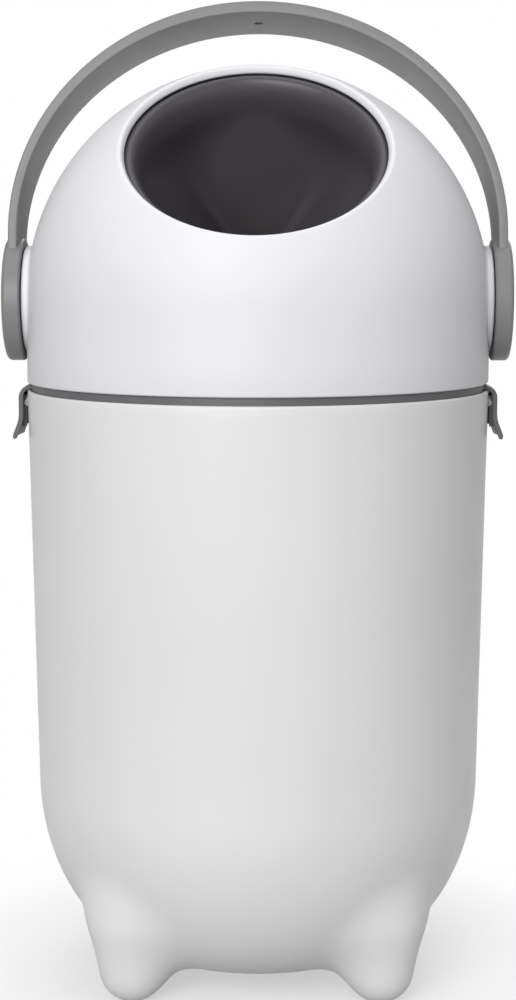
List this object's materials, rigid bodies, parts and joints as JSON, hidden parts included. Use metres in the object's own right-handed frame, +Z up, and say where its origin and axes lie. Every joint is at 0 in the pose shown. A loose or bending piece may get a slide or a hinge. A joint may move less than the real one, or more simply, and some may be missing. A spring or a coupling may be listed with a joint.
{
  "type": "nappy bin",
  "caption": "Free-standing nappy bin: round white bucket on moulded legs, lift-off domed lid with side latches, and a carrying handle that turns a ball drum with a pocket from open to closed.",
  "frame": {"origin": "on the bucket's axis at floor level, under the legs", "axes": "+Z up; the mouth and the bin's front face -Y; +X is the bin's right-hand side as seen from its front"},
  "size_m": [0.3032, 0.275, 0.5826],
  "materials": {
    "bucket_white": "fine satin moulded white",
    "lid_white": "smooth satin moulded white",
    "handle_grey": "satin moulded mid grey",
    "lid_base_grey": "satin moulded dark grey",
    "drum_grey": "satin moulded dark grey",
    "seal_rubber": "soft dull black rubber",
    "screw_steel": "zinc plated",
    "axle_steel": "machined steel tube",
    "bush_plastic": "self-oiling dark plastic"
  },
  "bodies": {
    "bucket": {"bucket": "bucket_white"},
    "lid": {"lid_base": "lid_base_grey", "rim_gasket": "seal_rubber", "lid_dome": "lid_white", "mouth_seal": "seal_rubber", "drum_seal": "seal_rubber", "lid_screws": "screw_steel", "latch_pins": "screw_steel", "bush_left": "bush_plastic", "bush_right": "bush_plastic"},
    "drum": {"drum_shell": "drum_grey", "drum_pocket": "drum_grey", "drum_screws": "screw_steel", "axle_left": "axle_steel", "axle_right": "axle_steel", "handle": "handle_grey", "handle_screws": "screw_steel", "ear_cap_left": "handle_grey", "ear_cap_right": "handle_grey"},
    "latch_left": {"latch_left": "handle_grey"},
    "latch_right": {"latch_right": "handle_grey"}
  },
  "joints": [
    {"name": "lid_lift", "type": "slide", "parent": "bucket", "child": "lid", "axis": [0, 0, 1], "range_m": [0, 0.15]},
    {"name": "drum_turn", "type": "hinge", "parent": "lid", "child": "drum", "pos_m": [0, 0, 0.407], "axis": [1, 0, 0], "range_deg": [0, 120]},
    {"name": "latch_left_open", "type": "hinge", "parent": "lid", "child": "latch_left", "pos_m": [-0.1324, 0, 0.3559], "axis": [0, 1, 0], "range_deg": [0, 22]},
    {"name": "latch_right_open", "type": "hinge", "parent": "lid", "child": "latch_right", "pos_m": [0.1324, 0, 0.3559], "axis": [0, -1, 0], "range_deg": [0, 22]}
  ]
}
